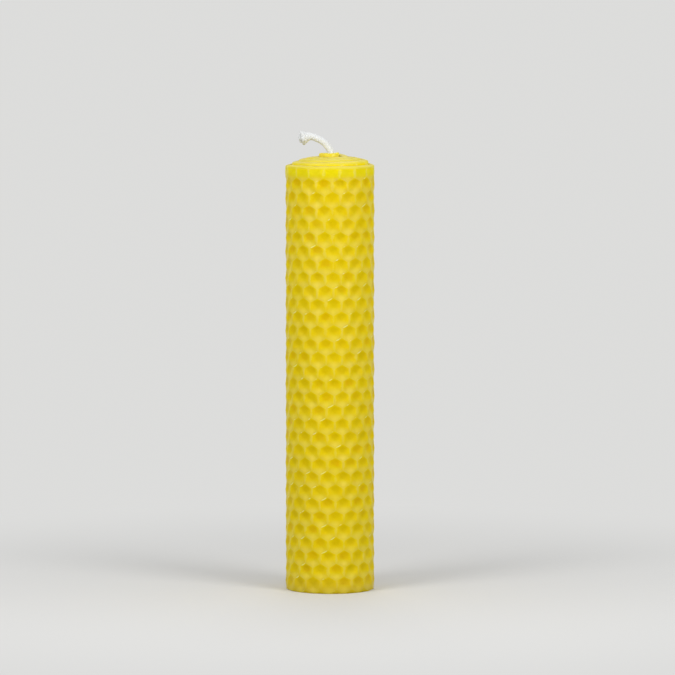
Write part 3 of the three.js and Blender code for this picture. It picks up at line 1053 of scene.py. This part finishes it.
def make_lamp(name, place, aim_height, size, power):
    data = bpy.data.lights.new(name, "AREA")
    data.shape = "DISK"
    data.size = size
    data.energy = power
    lamp = new_object(name, data)
    lamp.location = place
    aim = Vector((0, 0, aim_height)) - lamp.location
    lamp.rotation_euler = aim.to_track_quat("-Z", "Y").to_euler()


def make_world(stage):
    """An even sky, seen as the floor's colour."""
    world = bpy.data.worlds.new("studio")
    bpy.context.scene.world = world
    world.use_nodes = True
    graph = Graph(world.node_tree)
    sky = graph.nodes["Background"]
    graph.feed(sky, {"Color": (1, 1, 1), "Strength": SKY_STRENGTH})
    seen = graph.node("ShaderNodeBackground", {"Color": stage.floor_colour, "Strength": 1.0})
    show_in_part(graph, seen_rays(graph), sky, seen, "World Output")


def make_camera(stage):
    data = bpy.data.cameras.new("camera")
    data.lens = stage.lens
    data.sensor_width = stage.sensor
    data.clip_end = 100
    camera = new_object("camera", data)
    camera.location = (stage.camera_right, axis_y - stage.camera_distance, stage.camera_height)
    camera.rotation_euler = (math.pi / 2 - stage.camera_tilt, 0, 0)
    bpy.context.scene.camera = camera


def make_floor(stage):
    half = stage.floor_size / 2
    floor = new_object("floor")
    corners = [(-half, -half, 0), (half, -half, 0), (half, half, 0), (-half, half, 0)]
    floor.data.from_pydata(corners, [], [(0, 1, 2, 3)])
    floor.data.materials.append(floor_material(stage))


# The operators

def settle(piece, node):
    """Makes a finished piece stand for its CAD node."""
    if not piece.data.polygons:
        raise RuntimeError(f"{piece.name} came out empty")
    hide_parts(node)
    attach(piece, "root")


class CANDLE_OT_sheet(bpy.types.Operator):
    """Rolls up the embossed beeswax sheet"""

    bl_idname = "candle.make_sheet"
    bl_label = "Honeycomb sheet"

    def execute(self, context):
        scene = context.scene
        sheet = make_sheet(scene.candle_sheet, wax_material(scene.candle_finishes))
        settle(sheet, "honeycomb_sheet")
        return {"FINISHED"}


class CANDLE_OT_wick(bpy.types.Operator):
    """Braids the cotton wick and bends its stub"""

    bl_idname = "candle.make_wick"
    bl_label = "Cotton wick"

    def execute(self, context):
        scene = context.scene
        plan = SheetPlan(scene.candle_sheet)
        wick = make_wick(scene.candle_wick, plan, cotton_material(scene.candle_finishes))
        settle(wick, "wick")
        return {"FINISHED"}


class CANDLE_OT_stage(bpy.types.Operator):
    """Sets up the camera, the lamps and the floor"""

    bl_idname = "candle.make_stage"
    bl_label = "Camera, lamps and floor"

    def execute(self, context):
        stage = context.scene.candle_stage
        context.scene.view_settings.view_transform = "Standard"
        make_camera(stage)
        make_world(stage)
        make_floor(stage)
        for lamp in LAMPS:
            make_lamp(*lamp)
        return {"FINISHED"}


class CANDLE_PT_panel(bpy.types.Panel):
    """Lists the candle's pieces, sizes and finishes"""

    bl_idname = "CANDLE_PT_panel"
    bl_label = "Rolled candle"
    bl_space_type = "VIEW_3D"
    bl_region_type = "UI"
    bl_category = "Candle"

    def draw(self, context):
        for operator in OPERATORS:
            self.layout.operator(operator.bl_idname)
        for name, group in GROUPS.items():
            box = self.layout.box()
            box.label(text=group.__doc__)
            for size in group.__annotations__:
                box.prop(getattr(context.scene, name), size)


OPERATORS = (CANDLE_OT_stage, CANDLE_OT_sheet, CANDLE_OT_wick)
GROUPS = {
    "candle_sheet": SheetSizes,
    "candle_wick": WickSizes,
    "candle_finishes": Finishes,
    "candle_stage": StageSizes,
}


def register():
    for kind in (*GROUPS.values(), *OPERATORS, CANDLE_PT_panel):
        bpy.utils.register_class(kind)
    for name, group in GROUPS.items():
        setattr(bpy.types.Scene, name, PointerProperty(type=group))


def unregister():
    for name in GROUPS:
        delattr(bpy.types.Scene, name)
    for kind in (CANDLE_PT_panel, *reversed(OPERATORS), *reversed(GROUPS.values())):
        bpy.utils.unregister_class(kind)


def main():
    """Makes the candle and its stage."""
    register()
    bpy.ops.candle.make_stage()
    bpy.ops.candle.make_sheet()
    bpy.ops.candle.make_wick()


if __name__ == "__main__":
    main()
